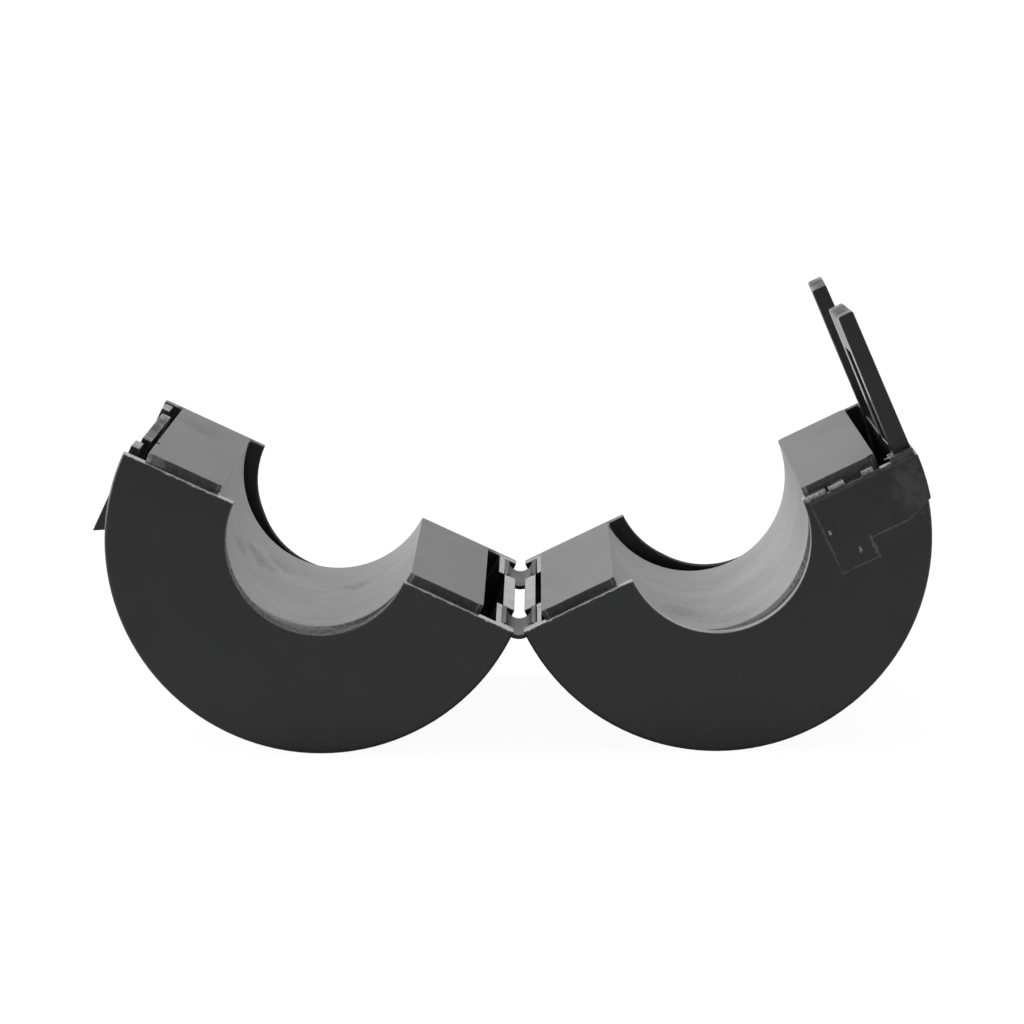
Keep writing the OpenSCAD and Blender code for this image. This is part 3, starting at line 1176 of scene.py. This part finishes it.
class FerriteBead:
    """The whole part: two halves with their cores, the straps and the latch arms."""

    finishes: tuple[Ferrite, ...] = (
        Ferrite(FerriteFace.GROUND, grey(0.078), grey(0.137), grey(0.045, 0.08), grey(0.17),
                0.5, 0.35, 0.000006, 0.25, (250.0, 4000.0, 250.0), 0.05),
        Ferrite(FerriteFace.BORE, grey(0.165), grey(0.34), grey(0.05), grey(0.3),
                0.55, 0.4, 0.000014, 0.7, (120.0, 1600.0, 120.0), 0.08, True),
        Ferrite(FerriteFace.FIRED, grey(0.03), grey(0.11), grey(0.02), grey(0.24),
                0.7, 0.3, 0.00003, 0.8, (1200.0, 1200.0, 1200.0)),
    )
    stains: dict[tuple[Half, FerriteFace], tuple[Mark, ...]] = {
        (Half.LEFT, FerriteFace.GROUND): (
            Mark((11.3, 6.1, 0.45), (2.2, 2.6, 1.0), 0.6, 500.0),
            Mark((11.0, 8.5, 0.45), (2.5, 3.5, 1.0), 0.25),
        ),
        (Half.RIGHT, FerriteFace.GROUND): (Mark((10.2, 7.4, 0.45), (1.1, 2.0, 1.0), 0.4),),
        (Half.LEFT, FerriteFace.BORE): (
            Mark((3.4, 2.4, -5.9), (2.0, 3.2, 1.6), 1.0, 1500.0),
            Mark((1.6, 6.5, -6.4), (1.6, 2.2, 1.2), 0.8, 1500.0),
            Mark((4.9, -1.5, -5.0), (1.4, 2.6, 1.8), 0.7, 1500.0),
            Mark((-4.1, 2.4, -4.9), (1.5, 2.6, 1.6), 0.9, 1500.0),
            Mark((-1.8, 1.0, -6.1), (3.0, 1.0, 1.5), 0.4, 1500.0),
            Mark((-2.5, -11.2, -5.8), (4.5, 0.6, 3.0), 0.5, 2500.0),
            Mark((0.0, -14.2, -6.4), (9.0, 1.6, 4.5), 0.45, 1200.0),
        ),
        (Half.RIGHT, FerriteFace.BORE): (
            Mark((-4.7, -7.0, -5.1), (2.2, 4.0, 2.0), 0.8, 1500.0),
            Mark((-1.0, -11.0, -6.4), (3.5, 3.0, 2.0), 0.5, 1500.0),
            Mark((0.0, -14.4, -6.4), (9.0, 1.2, 4.5), 0.4, 1200.0),
        ),
    }
    # Lighter patches on the fired faces. The two small ones on the left core are painted light where side light
    # reaches the ends of the dark end strip; the wide ones lighten the front end face round the bottom of the
    # bore.
    pale: dict[tuple[Half, FerriteFace], tuple[Mark, ...]] = {
        (Half.LEFT, FerriteFace.FIRED): (
            Mark((12.6, -14.5, -0.2), (0.9, 1.0, 1.2), 0.8),
            Mark((7.4, -14.5, -0.2), (0.7, 1.0, 1.2), 0.6),
            Mark((0.5, -14.5, -6.4), (9.0, 1.4, 4.0), 1.0, 4500.0),
        ),
        (Half.RIGHT, FerriteFace.FIRED): (Mark((0.5, -14.5, -6.4), (9.0, 1.4, 4.0), 0.7, 4500.0),),
    }
    # Pale marks on the plastic: painted highlights on the lit front rim edges, hinge bar tops, lug tops, pad edges
    # and inner latch wall, and a few pale specks and mottling.
    highlights_and_specks: dict[Half, tuple[Mark, ...]] = {
        Half.LEFT: (
            Mark((10.5, -16.95, 0.02), (12.0, 0.5, 0.14), 1.0, 1800.0),
            Mark((-10.5, -16.95, 0.02), (12.0, 0.5, 0.14), 1.0, 1800.0),
            Mark((-14.6, 0.0, 0.0), (0.9, 11.0, 0.15), 0.15, 1800.0),
            Mark((-13.8, -11.3, 0.0), (0.6, 5.0, 0.3), 0.12, 3500.0),
        ),
        Half.RIGHT: (
            Mark((-10.5, -16.95, 0.02), (12.0, 0.5, 0.14), 1.0, 1800.0),
            Mark((-14.6, 0.0, 0.0), (0.9, 11.0, 0.15), 0.15, 1800.0),
            Mark((-13.8, -11.3, 0.0), (0.6, 5.0, 0.3), 0.12, 3500.0),
            Mark((13.5, 0.0, -1.0), (0.6, 7.0, 1.0), 0.1, 1500.0),
            Mark((7.4, -16.9, -0.05), (2.2, 0.9, 0.34), 0.7, 1500.0),
            Mark((9.2, -16.9, -0.05), (1.4, 0.9, 0.34), 0.7, 1500.0),
            Mark((11.7, -16.9, -0.05), (1.0, 0.9, 0.34), 0.7, 1500.0),
            Mark((7.3, -17.14, -2.9), (0.16, 0.3, 0.25), 0.8, 4000.0),
            Mark((8.7, -17.14, -4.83), (0.16, 0.3, 0.3), 0.8, 4000.0),
            Mark((6.9, -17.1, -3.2), (0.12, 0.4, 3.4), 0.12, 2500.0),
            Mark((8.3, -17.1, -5.9), (1.9, 0.4, 0.12), 0.12, 2500.0),
            Mark((9.75, -17.1, -5.2), (0.18, 0.4, 1.2), 0.18, 2500.0),
            Mark((11.5, -17.1, -4.45), (2.6, 0.4, 0.12), 0.18, 2500.0),
            Mark((13.8, -17.14, -2.2), (1.6, 0.6, 2.4), 0.085, 1500.0),
        ),
    }
    polished: dict[Half, tuple[Mark, ...]] = {
        Half.LEFT: (
            Mark((10.5, -16.4, 0.0), (12.0, 1.6, 0.4), 1.0),
            Mark((-10.5, -16.4, 0.0), (12.0, 1.6, 0.4), 1.0),
            Mark((-14.3, 0.0, 0.0), (1.8, 24.0, 0.6), 1.0),
        ),
        Half.RIGHT: (
            Mark((-10.5, -16.4, 0.0), (12.0, 1.6, 0.4), 1.0),
            Mark((-14.3, 0.0, 0.0), (1.8, 24.0, 0.6), 1.0),
            Mark((9.5, -16.2, 0.0), (8.0, 1.6, 0.5), 1.0),
        ),
    }
    rough: dict[Half, tuple[Mark, ...]] = {
        Half.LEFT: (
            Mark((14.2, 0.0, 0.2), (0.7, 9.0, 0.2), 1.0),
            Mark((10.0, 16.4, 0.0), (6.0, 1.4, 0.5), 1.0),
            Mark((-10.0, 16.4, 0.0), (6.0, 1.4, 0.5), 1.0),
        ),
        Half.RIGHT: (
            Mark((14.6, -11.8, 10.4), (1.2, 6.0, 0.35), 1.0),
            Mark((14.6, 11.8, 10.4), (1.2, 6.0, 0.35), 1.0),
            Mark((10.0, 16.4, 0.0), (6.0, 1.4, 0.5), 1.0),
            Mark((-10.0, 16.4, 0.0), (6.0, 1.4, 0.5), 1.0),
        ),
    }
    chips: dict[Half, tuple[Chip, ...]] = {
        Half.LEFT: (
            Chip((13.45, -8.7, 0.5), (0.35, 0.75, 0.35)),
            Chip((6.9, -14.4, 0.3), (0.4, 0.3, 0.4), 10.0),
        ),
        Half.RIGHT: (
            Chip((-7.6, -14.4, 0.3), (0.4, 0.3, 0.45), 20.0),
            Chip((12.3, -14.5, 0.4), (0.4, 0.25, 0.3), 50.0),
        ),
    }

    flash: dict[Half, tuple[RimFlash, ...]] = {
        Half.LEFT: (
            RimFlash("left_latch_flash", (6.8, -16.95, -0.08), (14.6, -16.7, -0.08)),
            RimFlash("left_hinge_flash", (-14.8, -16.95, -0.08), (-6.8, -16.7, -0.08)),
        ),
        Half.RIGHT: (
            RimFlash("right_hinge_flash", (-14.8, -16.95, -0.08), (-6.8, -16.7, -0.08)),
            RimFlash("right_arm_flash", (12.9, -16.6, 0.0), (14.8, -15.7, 0.0)),
        ),
    }

    torn = CasePlastic("torn_lip", grey(0.16), grey(0.27), grey(0.012), roughness=0.8, specular=0.1,
                       grain_depth=0.00004)
    matt = CasePlastic("matt_lip", grey(0.011), grey(0.017), roughness=0.8, specular=0.1)
    strap = CasePlastic("strap_plastic", grey(0.004), grey(0.022), roughness=0.46, grain_depth=0.00006)
    grit: tuple[Mark, ...] = (Mark((0.0, -15.8, -4.0), (10.0, 3.0, 7.0), 0.95, 3500.0),)
    openings: dict[Half, Triple] = {
        Half.LEFT: (-0.38, 16.6, -0.32),
        Half.RIGHT: (0.34, 16.6, -0.37),
    }

    def __init__(self) -> None:
        """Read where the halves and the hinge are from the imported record."""
        seats = {mount["name"]: Vector(mount["pos_m"]) for mount in frame["record"]["mounts"]}
        joint = frame["joints"][0]
        tilt = math.radians((180.0 - joint["range_deg"][1]) / 2)
        self.places = (
            HalfFrame(Half.LEFT, seats["cable_seat_left"], tilt),
            HalfFrame(Half.RIGHT, seats["cable_seat_right"], tilt),
        )
        self.pivot = Vector(joint["pos_m"])

    def build(self) -> list[Piece]:
        """Build every piece.

        Returns:
            The pieces.
        """
        effects = SharedEffects()
        pieces = []
        plastics = {}
        for place in self.places:
            plastics[place.half] = CasePlastic().make(
                effects, place, self.highlights_and_specks[place.half], self.rough[place.half], self.polished[place.half])
            ferrite = {
                finish.face: finish.make(
                    effects, place, self.stains.get((place.half, finish.face), ()),
                    self.pale.get((place.half, finish.face), ()))
                for finish in self.finishes
            }
            front_lip = plastics[place.half]
            if place.half is Half.LEFT:
                front_lip = self.torn.make(effects, place, self.grit)
                pieces += LipCollar().build(place, front_lip)
            shell = Shell(place, self.openings[place.half])
            pieces += shell.build(plastics[place.half], front_lip, self.matt.make(effects, place))
            pieces += Core(place, self.chips[place.half]).build(ferrite)
            for flash in self.flash[place.half]:
                pieces += flash.build(place, plastics[place.half])
        pieces += HingeStraps(self.pivot).build(self.strap.make(effects, self.places[0]))
        pieces += LatchArms(self.places[1]).build(plastics[Half.RIGHT])
        return pieces


def main() -> None:
    """Build the scene in order and report each piece."""
    logging.basicConfig(level=logging.INFO)
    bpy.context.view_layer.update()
    PhotoCamera().build()
    for piece in FerriteBead().build():
        LOG.info("%s: %d faces", piece.name, len(piece.data.polygons))
    Studio().build()


if __name__ == "__main__":
    main()
